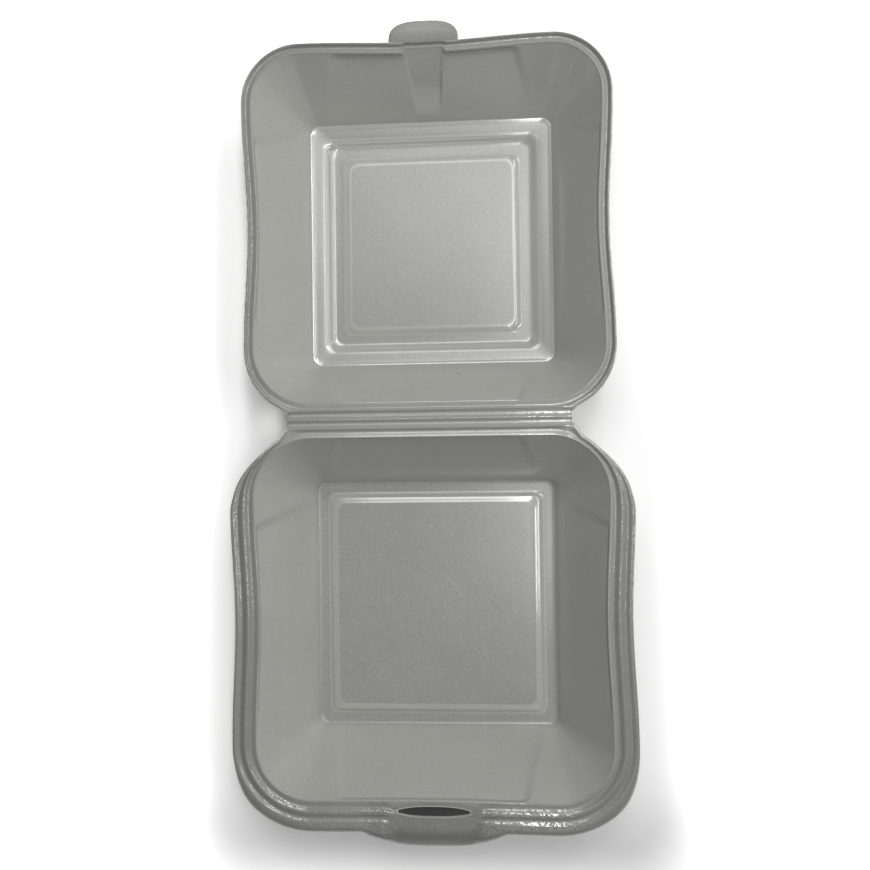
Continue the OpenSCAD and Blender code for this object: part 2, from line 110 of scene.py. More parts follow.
# Hinge
BASE_BACK, LID_BACK = 7.1, 6.7
HINGE_L, HINGE_FADE = 113.0, 14.0
FOLD_WEB, FOLD_GAP, FOLD_DEPTH = 0.4, 0.7, 1.65
CLOSED_GAP, FLANK_ANGLE, STRIP_BELLY = 0.3, 42.0, 0.7
FOLD_HALF = FOLD_DEPTH + CLOSED_GAP / 2
WEB_DROP = FOLD_DEPTH - FOLD_WEB / 2
RIDGE_RUN = WEB_DROP / math.tan(math.radians(FLANK_ANGLE))
BASE_REACH = BASE_BACK + BASE_L - BASE_FRONT_PINCH + FRONT_SKIRT_OUT + TONGUE_L
LID_REACH = LID_BACK + LID_L - LID_FRONT_PINCH + LID_EDGE_OUT + TAB_L
HINGE_Y = (BASE_REACH - LID_REACH) / 2
STRIP_CROWN = 1.08
WEB_STEEPNESS = 1.5
EDGE_ROUNDING, EDGE_BULGE = 0.2, 0.3

# The sides in the order that a tray's columns run, anticlockwise
FRONT, LEFT, BACK, RIGHT = 0, 1, 2, 3

# Pieces between a tray's columns, on a side and round a corner
END_PIECES, CREASE_PIECES, FRONT_PIECES, PANEL_PIECES = 8, 7, 5, 9
CORNER_PIECES = 36
HINGE_CORNER_PIECES = (12, 14, 26)
FAR_AWAY, SHORTEST_STEP = 1000.0, 0.25

# Rows of a rim, the base's row past its ridge, and the lid's row on its bead
BASE_RIM_ROWS, LID_RIM_ROWS = 9, 5
RIDGE_TO_VALLEY, BEAD_ROW = 7, 2

# Pieces from each row of a tray to the next, on its upper and under face, and each
# row's gloss. The rows run inwards over the rim, down the wall and over the floor.
BASE_UPPER_PIECES = [2, 3, 4, 4, 4, 5, 4, 4, 6, 3] + [4, 3, 3, 4, 3, 3, 3, 3, 3] + [3, 4, 5, 5, 3, 3, 3, 1]
BASE_UNDER_PIECES = [1, 2, 2, 2, 2, 3, 2, 4, 4, 2] + [2, 2, 2, 3, 2, 2, 2, 2, 2] + [2, 2, 3, 3, 2, 2, 2, 1]
BASE_GLOSS = [0.3, 0.3, 0.3, 0.7, 0.8, 0.4, 0.8, 0.8, 0.4, 0.5] + [0.35] * 7 + [0.25, 0.1]
BASE_GLOSS += [0.0, 0.0, 0.7, 0.8, 0.7, 0.0, 0.0, 0.0]
LID_UPPER_PIECES = [2, 2, 4, 5, 4, 3] + [4, 3, 3, 4, 3, 3, 3, 3, 3, 3]
LID_UPPER_PIECES += [4, 4, 3, 4, 5, 5, 3, 4, 4, 4, 3, 3, 3, 1]
LID_UNDER_PIECES = [1, 1, 2, 3, 3, 2] + [2] * 10 + [2, 2, 2, 3, 3, 2, 2, 2, 2, 2, 2, 2, 2, 1]
LID_GLOSS = [1.0, 1.0, 1.0, 1.0, 0.4, 0.6] + [0.35] * 9 + [0.9]
LID_GLOSS += [0.9, 0.1, 0.0, 0.0, 0.8, 0.8, 0.0, 0.0, 0.8, 0.8, 0.3, 0.0, 0.0, 0.0]
MIDDLE_SHARES = (0.7, 0.35)

# How pressed the rim is at the hinge and elsewhere, and how calm its gloss is
HINGE_PRESS, RIM_PRESS, PRESS_START, PRESS_RUN = 0.4, 0.8, 20.0, 40.0
# The tongue is pressed harder and so painted darker: painted shade on the tongue, which faces away from the
# lamps
TONGUE_SHADE_AND_PRESS, TONGUE_SHADE_RUN, LAND_DULLED = 0.2, 6.0, 0.7
TAB_CALM, TAB_CALM_IN, TAB_CALM_RUN, TAB_PRESS = 0.2, 1.0, 4.0, 0.85
SLOT_CUT, SHARP_ANGLE = 0.8, 50.0


def mix(a, b, t):
    return a + (b - a) * t


def smooth(t):
    k = np.clip(t, 0.0, 1.0)
    return k * k * (3 - 2 * k)


# Plan of a tray

def ring(w, l, front_r, back_r, panel, spread, front_pinch, side_pinch):
    """A rounded square that draws in along its sides."""
    return np.array([w / 2, l / 2, front_r, back_r, panel, spread,
                     front_pinch, side_pinch, 0.0, side_pinch])


def level_ring(w, l, r, panel, spread):
    return ring(w, l, r, r, panel, spread, 0.0, 0.0)


def inset(floor, d):
    return level_ring(2 * (floor[0] - d), 2 * (floor[1] - d), floor[2], floor[4] - d, floor[5])


def floor_ring(w, l, r, spread):
    """The outline of a floor, with panels as long as its corners and creases leave room for."""
    return level_ring(w, l, r, min(w, l) / 2 - r - CREASE_W - CREASE_CLEAR, spread)


def fold_edge(back):
    return back - FOLD_HALF - FOLD_GAP / 2


def hinge_turn(w, r, back):
    """Angle round a back corner at which the hinge ends."""
    return math.degrees(math.atan((HINGE_L / 2 - w / 2 + r) / (r + fold_edge(back))))


class Columns:
    """The lines that run down a tray from its rim to the middle of its floor.
    Each stands on a side, at shares of the side's span and of its panel plus a
    distance, or at an angle round the corner that follows the side."""

    def __init__(self, marks, turn):
        """Columns with marks along the front, for a hinge that ends at a turn round the back corners."""
        rows = []
        for side in (FRONT, LEFT, BACK, RIGHT):
            rows += self.side(side, marks)
            rows += self.corner(side, turn)
        table = np.array(rows)
        self.side_of = table[:, 0].astype(int)
        self.is_corner = table[:, 1] > 0.5
        self.angle = table[:, 2]
        self.shares = table[:, 3:7]
        self.panel = mix(table[:, 7], smooth(table[:, 7]), PANEL_SOFTNESS)
        self.count = len(table)
        self.from_hinge = np.where(self.side_of == BACK, np.where(self.is_corner, self.angle, 0.0), 90.0)
        left_back = self.is_corner & (self.side_of == LEFT)
        self.from_hinge = np.where(left_back, 90.0 - self.angle, self.from_hinge)

    @staticmethod
    def side(side, marks):
        """The columns of one side, from the key places on it."""
        if side == FRONT:
            inner = [(0, 0, 0, x, 1) for x in [-m for m in reversed(marks)] + [0.0] + list(marks)]
        else:
            inner = [(0, share, 0, 0, 1) for share in (-0.5, 0.0, 0.5)]
        keys = [(-1, 0, 0, 0, 0), (0, -1, -CREASE_W, 0, 0), (0, -1, 0, 0, 1)] + inner
        keys += [(0, 1, 0, 0, 1), (0, 1, CREASE_W, 0, 0), (1, 0, 0, 0, 0)]
        keys = np.array(keys, float)
        last = len(keys) - 2
        rows = []
        for i in range(last + 1):
            ends = {0: END_PIECES, 1: CREASE_PIECES, last - 1: CREASE_PIECES, last: END_PIECES}
            pieces = ends.get(i, FRONT_PIECES if side == FRONT else PANEL_PIECES)
            for j in range(pieces):
                rows.append([side, 0, 0, *mix(keys[i], keys[i + 1], j / pieces)])
        rows.append([side, 0, 0, *keys[-1]])
        return rows

    @staticmethod
    def corner(side, turn):
        """The columns round the corner that follows a side, closer where the hinge ends."""
        if side in (FRONT, RIGHT):
            angles = np.linspace(0, 90, CORNER_PIECES + 1)
        else:
            stops = [0, turn, turn + HINGE_FADE, 90]
            parts = [np.linspace(stops[i], stops[i + 1], n, endpoint=False)
                     for i, n in enumerate(HINGE_CORNER_PIECES)]
            angles = np.append(np.concatenate(parts), 90.0)
            if side == LEFT:
                angles = 90.0 - angles[::-1]
        return [[side, 1, a, 0, 0, 0, 0, 0] for a in angles[1:-1]]

    def corner_radius(self, shape, side):
        return np.where((side == FRONT) | (side == RIGHT), shape[2], shape[3])

    def along_side(self, shape, half):
        """Distance of each column from the middle of its side, and the span it leans on."""
        span_after = half - self.corner_radius(shape, self.side_of)
        span_before = half - self.corner_radius(shape, (self.side_of + 3) % 4)
        k = self.shares
        span = np.where(k[:, 0] + k[:, 1] + k[:, 3] > 0, span_after, span_before)
        spread = np.where(self.side_of == FRONT, shape[5], 1.0)
        return k[:, 0] * span + k[:, 1] * shape[4] + k[:, 2] + k[:, 3] * spread, span

    def plan(self, shape, out):
        """Where the columns stand on a ring, moved outwards."""
        face = np.radians(90.0 * (self.side_of + 1))
        normal = np.stack([np.cos(face), np.sin(face)], 1)
        along = np.stack([-np.sin(face), np.cos(face)], 1)
        reach = shape[1 - self.side_of % 2]
        half = shape[self.side_of % 2]
        r = self.corner_radius(shape, self.side_of)
        turn = face + np.radians(self.angle)
        radial = np.stack([np.cos(turn), np.sin(turn)], 1)
        s, span = self.along_side(shape, half)
        hollow = shape[6 + self.side_of] * (1 + np.cos(np.pi * s / span)) / 2
        corner = normal * (reach - r)[:, None] + along * (half - r)[:, None] + radial * (r + out)[:, None]
        straight = normal * (reach - hollow + out)[:, None] + along * s[:, None]
        return np.where(self.is_corner[:, None], corner, straight)

    def front_x(self, top):
        """Distance of the front's columns from the middle at the rim, far away for all others."""
        s, _ = self.along_side(top, top[self.side_of % 2])
        return np.where((self.side_of == FRONT) & ~self.is_corner, np.abs(s), FAR_AWAY)

    def past_hinge(self, top):
        """The angle from the hinge, carried on along the sides past the back corners."""
        s, span = self.along_side(top, top[self.side_of % 2])
        to_back = np.where(self.side_of == LEFT, s, -s)
        run = np.degrees((top[1] - top[3] - to_back) / top[3])
        on_side = ~self.is_corner & ((self.side_of == LEFT) | (self.side_of == RIGHT))
        elsewhere = np.where(self.from_hinge >= 90.0, FAR_AWAY, self.from_hinge)
        return np.where(on_side, 90.0 + np.maximum(run, 0.0), elsewhere)

    def front_share(self):
        """How much of the front's wide skirt a column has. It fades round the front corners."""
        corner = self.is_corner
        share = np.where((self.side_of == FRONT) & ~corner, 1.0, 0.0)
        share = np.where(corner & (self.side_of == FRONT), smooth((90 - self.angle) / SKIRT_TURN), share)
        return np.where(corner & (self.side_of == RIGHT), smooth(self.angle / SKIRT_TURN), share)

    def hinge_share(self, turn):
        return 1 - smooth((self.from_hinge - turn) / HINGE_FADE)

    def back_edge(self, r, back, turn, corner_edge):
        straight = (r + fold_edge(back)) / np.cos(np.radians(np.minimum(self.from_hinge, turn))) - r
        return mix(corner_edge, straight, self.hinge_share(turn))

    def row(self, shape, out, drop):
        """One row of points all round the tray."""
        out = np.broadcast_to(out, self.count)
        drop = np.broadcast_to(drop, self.count)
        return np.column_stack([self.plan(shape, out), RIM_HEIGHT - drop])


# Profile of a tray

def slopes(t, y):
    """Slopes of a curve that passes smoothly through its points and never overshoots them."""
    h = np.diff(t)[:, None, None]
    d = np.diff(y, axis=0) / h
    before, after = d[:-1], d[1:]
    w1, w2 = 2 * h[1:] + h[:-1], h[1:] + 2 * h[:-1]
    same = before * after > 0
    before, after = np.where(same, before, 1.0), np.where(same, after, 1.0)
    inner = np.where(same, (w1 + w2) / (w1 / before + w2 / after), 0.0)
    return np.concatenate([d[:1], inner, d[-1:]])


def flow(rows):
    """Fine rows through the given (points, pieces to the next row), and the index of each given row."""
    points = np.array([p for p, _ in rows])
    pieces = [n for _, n in rows[:-1]]
    steps = np.linalg.norm(np.diff(points, axis=0), axis=2).mean(1)
    t = np.concatenate([[0.0], np.cumsum(np.maximum(steps, SHORTEST_STEP))])
    m = slopes(t, points)
    fine, places = [], []
    for i, n in enumerate(pieces):
        places.append(len(fine))
        h = t[i + 1] - t[i]
        for k in np.arange(n) / n:
            k2, k3 = k * k, k * k * k
            fine.append((2 * k3 - 3 * k2 + 1) * points[i] + (k3 - 2 * k2 + k) * h * m[i]
                        + (3 * k2 - 2 * k3) * points[i + 1] + (k3 - k2) * h * m[i + 1])
    places.append(len(fine))
    fine.append(points[-1])
    return np.array(fine), places


def hinge_ridge(edge, run, t):
    """The ridge beside a fold, from the pressed web to the ridge's top."""
    return edge - run * t, WEB_DROP * (1 - t)


def hinge_under(edge, run, t, share):
    """The under face of that ridge, pressed thin at the web."""
    pressed = share * (1 - smooth(t * WEB_STEEPNESS))
    return edge - run * t, mix(HINGE_UNDER_DROP, FOLD_DEPTH + FOLD_WEB / 2, pressed)


def wall_rows(columns, top, floor, floor_drop, shares, set_back):
    """The wall between the rim and the floor, upper and under face."""
    run = (top[0] - floor[0] + top[1] - floor[1]) / 2
    slope = math.atan(run / (floor_drop - LIP_DROP))
    upper, under = [], []
    for share in shares:
        shape = mix(top, floor, share)
        drop = mix(LIP_DROP, floor_drop, share)
        back = set_back(share)
        upper.append(columns.row(shape, back, drop))
        under.append(columns.row(shape, back + FOAM * math.cos(slope), drop + FOAM * math.sin(slope)))
    return upper, under


def wall_shares(floor_drop, lower):
    """How far down the wall its rows lie, as shares: three at the panel's top edge, and the lower ones."""
    drops = (PANEL_EDGE, PANEL_TOP, PANEL_TOP + PANEL_TOP_ROLL)
    return [(drop - LIP_DROP) / (floor_drop - LIP_DROP) for drop in drops] + lower


def panel_set_back(columns, share, top_share, fade):
    """How far a wall's panel stands back. It starts with a sharp edge under the rim and fades downwards."""
    return columns.panel * PANEL_RECESS * (1 - share) ** fade * (share > top_share - 1e-9)


def floor_rows(columns, levels):
    """The floor's rings, upper and under face, from (ring, height), and two that shrink to its middle."""
    faces = []
    for foam in (FOAM, 0.0):
        rows = [columns.row(shape, 0.0, RIM_HEIGHT - foam - height) for shape, height in levels]
        outline = rows[-1]
        rows += [outline * np.array([share, share, 1.0]) for share in MIDDLE_SHARES]
        faces.append(rows)
    return faces


def rim_press(columns):
    """How much the rim's foam is pressed: less along the hinge."""
    return mix(HINGE_PRESS, RIM_PRESS, smooth((columns.from_hinge - PRESS_START) / PRESS_RUN))


def between(columns, top, a, b, share):
    """A row of a rim between two (out, drop)."""
    return columns.row(top, mix(a[0], b[0], share), mix(a[1], b[1], share))


def base_rim(columns, x):
    """The base's rim as (out, drop) from its edge to its lip, on the upper and under face, and
    the share of the land round the slot, where a bow takes the place of the outer ridge."""
    slot_half, tongue_half = SLOT_L / 2, TONGUE_W / 2
    land = 1 - smooth((x - slot_half + SLOT_LAND_IN) / SLOT_LAND_FADE)
    gap = mix(SLOT_END_W, SLOT_W, 1 - np.minimum(x / slot_half, 1.0) ** SLOT_ROUNDNESS)
    slot_mid = (VALLEY_OUT + GROOVE_OUT) / 2
    tongue = np.where(x < tongue_half, 1 - np.minimum(x / tongue_half, 1.0) ** TONGUE_ROUNDNESS, 0.0)
    edge_out = mix(SKIRT_OUT, FRONT_SKIRT_OUT, columns.front_share()) + TONGUE_L * tongue
    edge_drop = mix(SKIRT_DROP, TONGUE_DROP, tongue)
    ridge = mix(RIDGE_OUT, slot_mid + gap / 2, land)
    ridge_drop = SLOT_LAND_DROP * land
    valley = mix(VALLEY_OUT, slot_mid - gap / 2, land)

    def ridged(out, drop, t):
        bow_out = mix(ridge + RIDGE_FLANK, edge_out, t)
        bow_drop = mix(ridge_drop + BOW_DROP, edge_drop, t * t)
        return mix(out, bow_out, land), mix(drop, bow_drop, land)

    rim = [
        (edge_out, edge_drop),
        ridged(mix(SECOND_RIDGE_OUT, edge_out, SKIRT_BEND), edge_drop * SKIRT_BEND_DROP, BOW_SHARES[0]),
        ridged(SECOND_RIDGE_OUT + SECOND_RIDGE_OUTER, SECOND_RIDGE_OUTER_DROP, BOW_SHARES[1]),
        ridged(SECOND_RIDGE_OUT - SECOND_RIDGE_INNER, SECOND_RIDGE_INNER_DROP, BOW_SHARES[2]),
        ridged(GROOVE_OUT, GROOVE_DROP, BOW_SHARES[3]),
        (ridge + RIDGE_FLANK, ridge_drop + RIDGE_FLANK_DROP),
        (ridge, ridge_drop),
        (valley, VALLEY_DROP),
        (0.0, LIP_DROP),
    ]
    under_rim = [(rim[i][0] - back * RIM_FOAM, rim[i][1] + down * RIM_FOAM)
                 for i, (back, down) in enumerate(BASE_UNDER_EDGE)]
    under_rim += [(out, drop + RIM_FOAM) for out, drop in rim[2:-1]]
    under_rim += [(UNDER_LIP_OUT, UNDER_LIP_DROP)]
    return rim, under_rim, land


def base_rim_rows(columns, top, turn, rim, under_rim):
    """The rows of the base's rim, upper and under face, with the hinge's ridge along the hinge."""
    skirt = smooth((columns.past_hinge(top) - SKIRT_START) / (SKIRT_FULL - SKIRT_START))
    held = columns.hinge_share(turn)
    edge = columns.back_edge(BASE_BACK_R, BASE_BACK, turn, BACK_RIM_W)
    run = mix(BACK_RIM_RUN, RIDGE_RUN, held)
    upper, under = [], []
    for i in range(BASE_RIM_ROWS):
        t = i / (RIDGE_TO_VALLEY - 1)
        if i < RIDGE_TO_VALLEY:
            hinged, hinged_under = hinge_ridge(edge, run, t), hinge_under(edge, run, t, held)
        else:
            drawn = (BACK_RIM_RUN - VALLEY_OUT) * (1 - held) if i == RIDGE_TO_VALLEY else 0.0
            hinged = (rim[i][0] + drawn, rim[i][1])
            hinged_under = (under_rim[i][0] + drawn, under_rim[i][1])
        upper.append(between(columns, top, hinged, rim[i], skirt))
        under.append(between(columns, top, hinged_under, under_rim[i], skirt))
    return upper, under


def inset_levels(outline, points):
    """Floor levels as (ring, height), from (inset, height)."""
    return [(inset(outline, d), height) for d, height in points]


def base_floor_levels(floor):
    """The base's floor: a flat ring on the table, and a raised panel with a soft edge."""
    inner = inset(floor, BASE_RING + BASE_STEP)
    return inset_levels(floor, BASE_RING_POINTS) + inset_levels(inner, BASE_PANEL_POINTS)


def base_rows():
    """The base's columns, its rows on the upper and under face from the rim's edge inwards,
    the slot's columns, and how pressed, glossy and calm the foam is."""
    slot_half, tongue_half = SLOT_L / 2, TONGUE_W / 2
    turn = hinge_turn(BASE_W, BASE_BACK_R, BASE_BACK)
    marks = [slot_half * i / 4 for i in range(1, 5)]
    marks += [mix(slot_half, tongue_half, i / 3) for i in range(1, 4)]
    c = Columns(marks, turn)
    top = ring(BASE_W, BASE_L, BASE_FRONT_R, BASE_BACK_R, PANEL_L / 2, 1.0, BASE_FRONT_PINCH, BASE_PINCH)
    floor = floor_ring(BASE_FLOOR_W, BASE_FLOOR_L, BASE_FLOOR_R, 1.0)
    x = c.front_x(top)
    rim, under_rim, land = base_rim(c, x)
    upper, under = base_rim_rows(c, top, turn, rim, under_rim)
    add_fold_rows(c, turn, upper, under)
    floor_drop = RIM_HEIGHT - FOAM
    shares = wall_shares(floor_drop, BASE_WALL_SHARES)
    walls = wall_rows(c, top, floor, floor_drop, shares,
                      lambda share: panel_set_back(c, share, shares[1], BASE_PANEL_FADE))
    floors = floor_rows(c, base_floor_levels(floor))
    upper += walls[0] + floors[0]
    under += walls[1] + floors[1]
    slot = np.where(x < slot_half + 1e-6)[0]
    # More press on the tongue darkens it: painted shade
    press = rim_press(c) + TONGUE_SHADE_AND_PRESS * smooth((tongue_half - x) / TONGUE_SHADE_RUN)
    calm = 1 - LAND_DULLED * land
    return (c, list(zip(upper, BASE_UPPER_PIECES)), list(zip(under, BASE_UNDER_PIECES)), slot,
            (press, BASE_GLOSS, calm))


def fold_row(columns, near, far, web, rounding):
    """The outermost row: the end of the pressed web along the fold, or the edge's rounding."""
    normal_angle = np.radians(90.0 * (columns.side_of + 1) + np.where(columns.is_corner, columns.angle, 0.0))
    back = np.stack([np.zeros(columns.count), -np.ones(columns.count)], 1)
    radial = np.stack([np.cos(normal_angle), np.sin(normal_angle)], 1)
    on_fold = (web > 0)[:, None]
    moved = near[:, :2] + np.where(on_fold, back * web[:, None], radial * rounding * EDGE_BULGE)
    z = np.where(web > 0, near[:, 2], mix(near[:, 2], far[:, 2], rounding))
    return np.column_stack([moved, z])


def add_fold_rows(columns, turn, upper, under):
    """Puts the outermost row in front of a rim's rows, on both faces."""
    web = np.where(columns.from_hinge <= turn, FOLD_GAP / 2, 0.0)
    upper.insert(0, fold_row(columns, upper[0], under[0], web, EDGE_ROUNDING))
    under.insert(0, fold_row(columns, under[0], upper[1], web, EDGE_ROUNDING))


def lid_rim(columns, x, channel):
    """The lid's rim as (out, drop) from its edge and tab to its lip, on the upper and under face."""
    tab = TAB_L * (1 - np.minimum(x / (TAB_W / 2), 1.0) ** TAB_ROUNDNESS) ** (1 / TAB_ROUNDNESS)
    past_skirt = smooth((columns.from_hinge - SKIRT_START) / (90 - SKIRT_START))
    swell = (LID_BACK_RIM_W - LID_EDGE_OUT) * (1 - past_skirt)
    rim = [
        (LID_EDGE_OUT + swell + tab, LID_EDGE_DROP - TAB_RISE * tab / TAB_L),
        (mix(BEAD_OUT, LID_EDGE_OUT, LID_BEND) + swell + tab * TAB_BEND, LID_EDGE_DROP * LID_BEND_DROP),
        (BEAD_OUT + swell / 2 + channel * BEAD_CHANNEL, 0.0),
        (VALLEY_OUT + channel * VALLEY_CHANNEL, VALLEY_DROP),
        (channel, LIP_DROP),
    ]
    (edge_back, edge_down), (bend_back, bend_down) = LID_UNDER_EDGE
    under_rim = [(rim[0][0] - edge_back, rim[0][1] + RIM_FOAM * edge_down + TAB_FOAM * tab / TAB_L),
                 (rim[1][0] - bend_back, rim[1][1] + RIM_FOAM * bend_down)]
    under_rim += [(out, drop + RIM_FOAM) for out, drop in rim[2:-1]]
    under_rim += [(UNDER_LIP_OUT + channel * UNDER_CHANNEL, UNDER_LIP_DROP)]
    return rim, under_rim


def lid_rim_rows(columns, top, turn, rim, under_rim):
    """The rows of the lid's rim, upper and under face, with the hinge's ridge along the hinge."""
    held = columns.hinge_share(turn)
    edge = columns.back_edge(LID_BACK_R, LID_BACK, turn, LID_BACK_RIM_W)
    upper, under = [], []
    for i in range(LID_RIM_ROWS):
        t = i / BEAD_ROW
        hinged, hinged_under = rim[i], under_rim[i]
        if i <= BEAD_ROW:
            hinged, hinged_under = hinge_ridge(edge, RIDGE_RUN, t), hinge_under(edge, RIDGE_RUN, t, held)
        upper.append(between(columns, top, rim[i], hinged, held))
        under.append(between(columns, top, under_rim[i], hinged_under, held))
    return upper, under


def lid_floor_levels(floor):
    """The lid's floor: a rolled ledge, a step down to the margin, and a raised field."""
    margin = inset(floor, LEDGE_W + LEDGE_STEP)
    field = inset(margin, MARGIN_W)
    raised = inset(field, FIELD_STEP)
    outer = inset_levels(floor, LEDGE_POINTS) + inset_levels(margin, MARGIN_POINTS)
    return outer + inset_levels(field, FIELD_FOOT_POINTS) + inset_levels(raised, FIELD_POINTS)


def lid_rows():
    """The lid's columns, its rows on the upper and under face from the rim's edge inwards,
    no slot, and how pressed, glossy and calm the foam is."""
    channel_half, tab_half = CHANNEL_W / 2, TAB_W / 2
    turn = hinge_turn(LID_W, LID_BACK_R, LID_BACK)
    marks = [(channel_half - CHANNEL_FLANK) * share for share in (0.5, 1.0)]
    marks += [mix(channel_half, tab_half, 1 - (1 - i / 4) ** 2) for i in range(5)]
    c = Columns(marks, turn)
    top = ring(LID_W, LID_L, LID_FRONT_R, LID_BACK_R, PANEL_L / 2, 1.0, LID_FRONT_PINCH, LID_PINCH)
    floor = floor_ring(LID_FLOOR_W, LID_FLOOR_L, LID_FLOOR_R, CHANNEL_TAPER)
    x = c.front_x(top)
    channel = CHANNEL_D * smooth((channel_half - x) / CHANNEL_FLANK)
    rim, under_rim = lid_rim(c, x, channel)
    upper, under = lid_rim_rows(c, top, turn, rim, under_rim)
    add_fold_rows(c, turn, upper, under)
    floor_drop = RIM_HEIGHT - FOAM - LEDGE_RISE
    shares = wall_shares(floor_drop, LID_WALL_SHARES)

    def set_back(share):
        fade = 1 - smooth((share - CHANNEL_FADE_START) / CHANNEL_FADE_RUN)
        return np.maximum(panel_set_back(c, share, shares[1], LID_PANEL_FADE), channel * fade)

    walls = wall_rows(c, top, floor, floor_drop, shares, set_back)
    floors = floor_rows(c, lid_floor_levels(floor))
    upper += walls[0] + floors[0]
    under += walls[1] + floors[1]
    calm = mix(TAB_CALM, 1.0, smooth((x - tab_half + TAB_CALM_IN) / TAB_CALM_RUN))
    press = rim_press(c) * mix(TAB_PRESS, 1.0, calm)
    return (c, list(zip(upper, LID_UPPER_PIECES)), list(zip(under, LID_UNDER_PIECES)), None,
            (press, LID_GLOSS, calm))


# Meshes

def quads(a, b, c, d):
    """Four-cornered faces, from the numbers of their points."""
    return np.stack([a, b, c, d], -1).reshape(-1, 4)


def sheet_faces(ids, at, slot_row, slot, flip):
    """The faces of a tray's upper or under side, open at the slot."""
    a, b = ids[:-1], np.roll(ids[:-1], -1, 1)
    d, e = ids[1:], np.roll(ids[1:], -1, 1)
    keep = np.ones(a.shape, bool)
    if slot is not None:
        keep[at[slot_row]:at[slot_row + 1], slot[0]:slot[-1]] = False
    face = quads(a[keep], d[keep], e[keep], b[keep])
    return face[:, ::-1] if flip else face


def middle_fan(ids, middle, flip):
    """The triangles from the innermost row to the middle of the floor."""
    fan = np.stack([np.full(len(ids), middle), np.roll(ids, -1), ids], -1)
    return fan[:, ::-1] if flip else fan


def cut_share(count, sides, slot_row, slot):
    """Where the foam is cut: at the rim's edge, and at the slot's."""
    cut = np.zeros(count)
    for ids, at in sides:
        cut[ids[0]] = 1.0
        if slot is not None:
            cut[ids[at[slot_row], slot]] = cut[ids[at[slot_row + 1], slot]] = SLOT_CUT
    return cut


def foam_shares(count, sides, rim_rows, finish):
    """How pressed and how taut the foam is at each point."""
    press, gloss, calm = finish
    pressed, taut = np.zeros(count), np.zeros(count)
    for ids, at in sides:
        rim = np.clip((rim_rows + 1 - np.arange(len(at))) / 2, 0, 1)
        rim, shine = [np.interp(np.arange(len(ids)), at, values)[:, None] for values in (rim, gloss)]
        pressed[ids] = rim * press
        taut[ids] = shine * mix(1.0, calm, rim)
    return pressed, taut


def tray(name, rows, slot_row, rim_rows, place, material):
    """The closed skin of a tray: the upper side, the edge, and the under side, with the slot cut through."""
    columns, upper, under, slot, finish = rows
    top, top_at = flow(upper)
    bottom, bottom_at = flow(under)
    n = columns.count
    middles = np.array([[0, 0, top[-1, 0, 2]], [0, 0, bottom[-1, 0, 2]]])
    points = np.concatenate([top.reshape(-1, 3), bottom.reshape(-1, 3), middles])
    start, count = len(top) * n, len(points)
    ids_top = np.arange(start).reshape(len(top), n)
    ids_bottom = start + np.arange(len(bottom) * n).reshape(len(bottom), n)
    sides = ((ids_top, top_at), (ids_bottom, bottom_at))
    rim_top, rim_bottom = ids_top[0], ids_bottom[0]
    faces = [sheet_faces(ids_top, top_at, slot_row, slot, False),
             sheet_faces(ids_bottom, bottom_at, slot_row, slot, True),
             quads(rim_top, np.roll(rim_top, -1), np.roll(rim_bottom, -1), rim_bottom)]
    if slot is not None:
        faces += slot_walls(sides, slot_row, slot) + slot_ends(sides, slot_row, slot)
    fans = [middle_fan(ids_top[-1], count - 2, False), middle_fan(ids_bottom[-1], count - 1, True)]
    polygons = np.concatenate(faces).tolist() + np.concatenate(fans).tolist()
    pressed, taut = foam_shares(count, sides, rim_rows, finish)
    shares = {"cut_edge": cut_share(count, sides, slot_row, slot), "pressed": pressed, "taut": taut}
    return skin(name, points * place[0] + place[1], polygons, shares, material)


def slot_walls(sides, row, slot):
    """The cut faces along the slot's two long sides."""
    (outer_top, inner_top), (outer_bottom, inner_bottom) = [
        (ids[at[row], slot], ids[at[row + 1], slot]) for ids, at in sides]
    return [quads(outer_top[1:], outer_top[:-1], outer_bottom[:-1], outer_bottom[1:]),
            quads(inner_top[:-1], inner_top[1:], inner_bottom[1:], inner_bottom[:-1])]


def slot_ends(sides, row, slot):
    """The cut faces at the slot's two blunt ends."""
    ends = []
    for column, flip in ((slot[0], False), (slot[-1], True)):
        up, down = [ids[at[row]:at[row + 1] + 1, column] for ids, at in sides]
        face = quads(up[:-1], up[1:], down[1:], down[:-1])
        ends.append(face[:, ::-1] if flip else face)
    return ends


def add_object(name, data):
    """A new object in the scene."""
    obj = bpy.data.objects.new(name, data)
    bpy.context.scene.collection.objects.link(obj)
    return obj


def skin(name, points, polygons, shares, material):
    """A mesh object in metres, smooth but for its sharp edges, with each named share at its points."""
    mesh = bpy.data.meshes.new(name)
    mesh.from_pydata((points * MM).tolist(), [], polygons)
    mesh.validate()
    bm = bmesh.new()
    bm.from_mesh(mesh)
    for label, values in shares.items():
        layer = bm.verts.layers.float.new(label)
        for v in bm.verts:
            v[layer] = float(values[v.index])
    bmesh.ops.delete(bm, geom=[v for v in bm.verts if not v.link_faces], context="VERTS")
    for face in bm.faces:
        face.smooth = True
    for e in bm.edges:
        if len(e.link_faces) == 2 and e.calc_face_angle(0.0) > math.radians(SHARP_ANGLE):
            e.smooth = False
    if bm.calc_volume(signed=True) < 0:
        bmesh.ops.reverse_faces(bm, faces=bm.faces)
    bm.to_mesh(mesh)
    bm.free()
    mesh.materials.append(material)
    return add_object(name, mesh)


# Node trees

def add_node(tree, kind, inputs=None, **settings):
    """A node with its settings and inputs. An input is a value, or another node's output."""
    node = tree.nodes.new(kind)
    for name, value in settings.items():
        setattr(node, name, value)
    for name, value in (inputs or {}).items():
        if isinstance(value, bpy.types.NodeSocket):
            tree.links.new(value, node.inputs[name])
        else:
            node.inputs[name].default_value = value
    return node


def work_out(tree, operation, *values):
    """The result of a Math node."""
    return add_node(tree, "ShaderNodeMath", dict(enumerate(values)), operation=operation).outputs[0]


